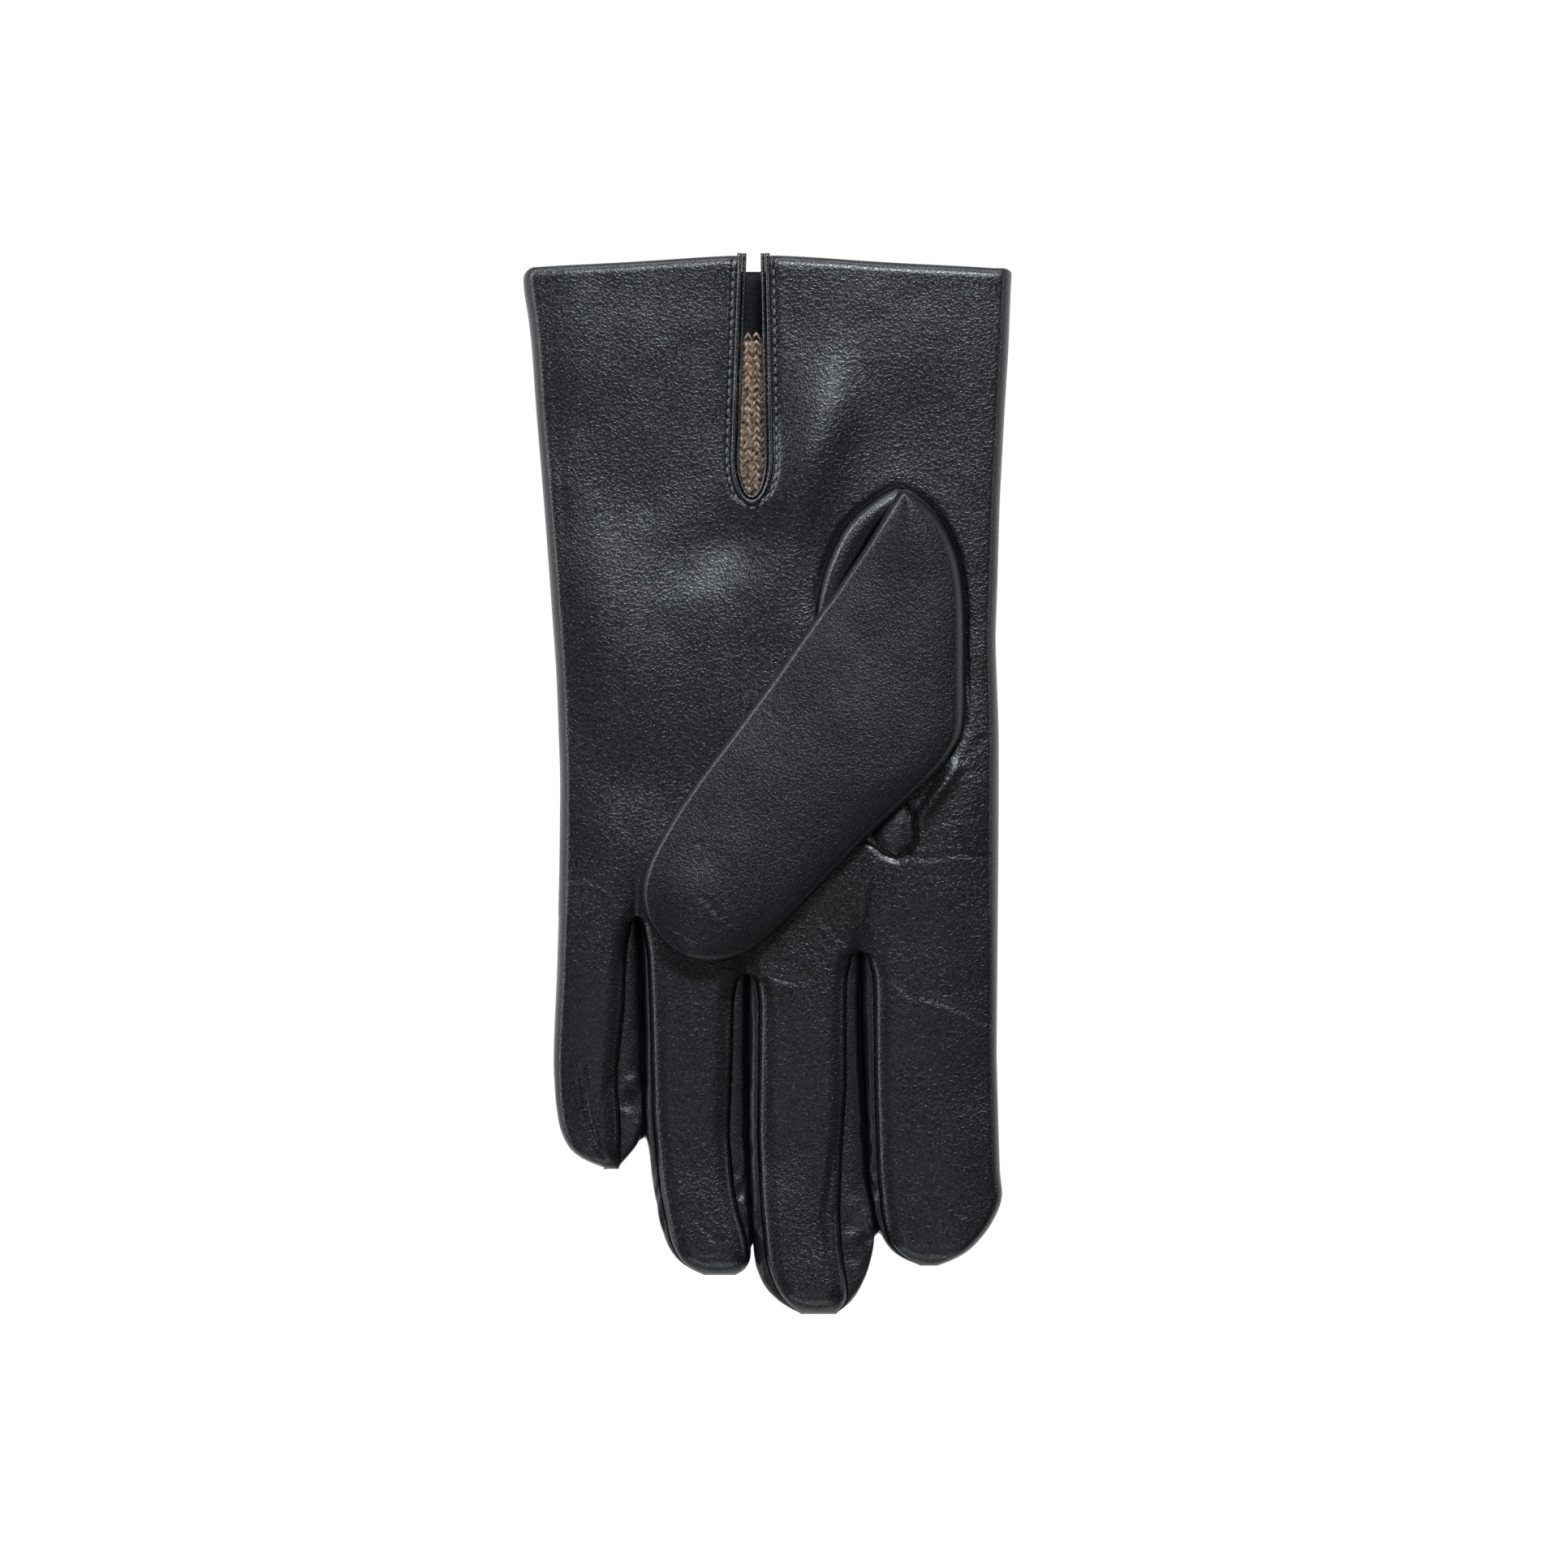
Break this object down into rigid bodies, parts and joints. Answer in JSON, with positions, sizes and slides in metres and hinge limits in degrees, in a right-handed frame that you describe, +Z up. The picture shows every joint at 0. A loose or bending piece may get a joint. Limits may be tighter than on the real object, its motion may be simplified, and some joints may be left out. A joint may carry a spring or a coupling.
{
  "type": "leather dress glove",
  "caption": "Left-hand men's dress glove in smooth black leather with a knit lining, palm up, its thumb folded over the palm and a slit at the cuff.",
  "frame": {"origin": "middle of the footprint, on the surface the glove lies on", "axes": "+Y towards the cuff, +Z up out of the palm, +X towards the index-finger side"},
  "size_m": [0.1142, 0.2498, 0.021],
  "materials": {
    "leather": "satin, fine grain",
    "knit": "matte knit",
    "thread": "matte"
  },
  "bodies": {
    "hand": {"trank_palm": "leather", "trank_back": "leather", "cuff_hem": "leather", "vent_binding": "leather", "vent_stitching": "thread", "hand_lining": "knit", "thumb_base_fold": "leather", "thumb_quirk": "leather", "fourchette_little_ring": "leather", "fourchette_ring_middle": "leather", "fourchette_middle_index": "leather"},
    "little_finger": {"little_palm_panel": "leather", "little_back_panel": "leather", "little_fourchette_right": "leather", "little_lining": "knit"},
    "ring_finger": {"ring_palm_panel": "leather", "ring_back_panel": "leather", "ring_fourchette_left": "leather", "ring_fourchette_right": "leather", "ring_lining": "knit"},
    "middle_finger": {"middle_palm_panel": "leather", "middle_back_panel": "leather", "middle_fourchette_left": "leather", "middle_fourchette_right": "leather", "middle_lining": "knit"},
    "index_finger": {"index_palm_panel": "leather", "index_back_panel": "leather", "index_fourchette_left": "leather", "index_lining": "knit"},
    "thumb": {"thumb_upper_panel": "leather", "thumb_under_panel": "leather", "thumb_lining": "knit"}
  },
  "joints": [
    {"name": "little_knuckle", "type": "hinge", "parent": "hand", "child": "little_finger", "pos_m": [-0.0404, -0.036, 0.012], "axis": [-1, 0, 0], "range_deg": [0, 90]},
    {"name": "ring_knuckle", "type": "hinge", "parent": "hand", "child": "ring_finger", "pos_m": [-0.0177, -0.0465, 0.012], "axis": [-1, 0, 0], "range_deg": [0, 90]},
    {"name": "middle_knuckle", "type": "hinge", "parent": "hand", "child": "middle_finger", "pos_m": [0.0082, -0.0465, 0.012], "axis": [-1, 0, 0], "range_deg": [0, 90]},
    {"name": "index_knuckle", "type": "hinge", "parent": "hand", "child": "index_finger", "pos_m": [0.0381, -0.0465, 0.012], "axis": [-1, 0, 0], "range_deg": [0, 90]},
    {"name": "thumb_fold", "type": "hinge", "parent": "hand", "child": "thumb", "pos_m": [0.0463, 0.036, 0.0123], "axis": [0, 1, 0], "range_deg": [0, 90]}
  ]
}
